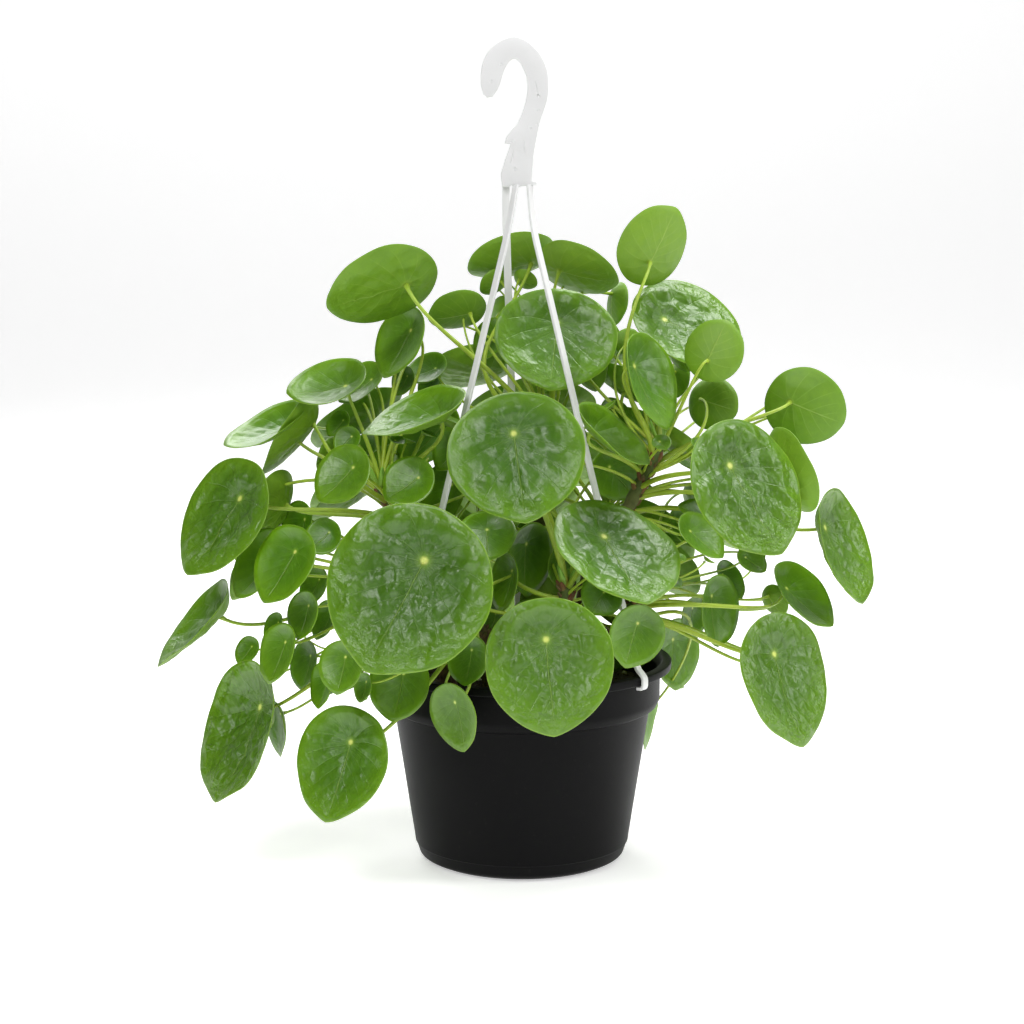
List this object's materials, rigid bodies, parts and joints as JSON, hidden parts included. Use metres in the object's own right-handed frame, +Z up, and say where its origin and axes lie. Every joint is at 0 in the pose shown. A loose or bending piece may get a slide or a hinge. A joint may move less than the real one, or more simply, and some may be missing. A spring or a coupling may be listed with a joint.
{
  "type": "potted hanging pilea plant",
  "caption": "Round-leaved pilea in a tapered black nursery pot with a flat lip, filled with soil, under a white hook hanger whose flat straps clip over the lip.",
  "frame": {"origin": "centre of the pot's flat underside", "axes": "+Z up to the hook, +X to the right and -Y to the front as the picture sees the plant"},
  "size_m": [0.442, 0.3301, 0.4953],
  "materials": {
    "pot": "satin black moulded plastic",
    "soil": "dark peat with bark and light perlite grains",
    "hanger": "white moulded plastic, slightly glossy",
    "leaf": "waxy green blade with a pale dot and margin, yellow-green stalks, brown-green trunks"
  },
  "bodies": {
    "root": {"pot": "pot", "soil": "soil", "hook": "hanger", "arm_rear": "hanger", "arm_left": "hanger", "arm_right": "hanger", "stem_right_high": "leaf", "stem_right_low": "leaf", "stem_left_high": "leaf", "stem_left_low": "leaf", "stem_centre": "leaf", "stem_front_left": "leaf", "stem_front_right": "leaf", "stem_rear_left": "leaf", "stem_rear_right": "leaf"}
  },
  "joints": []
}
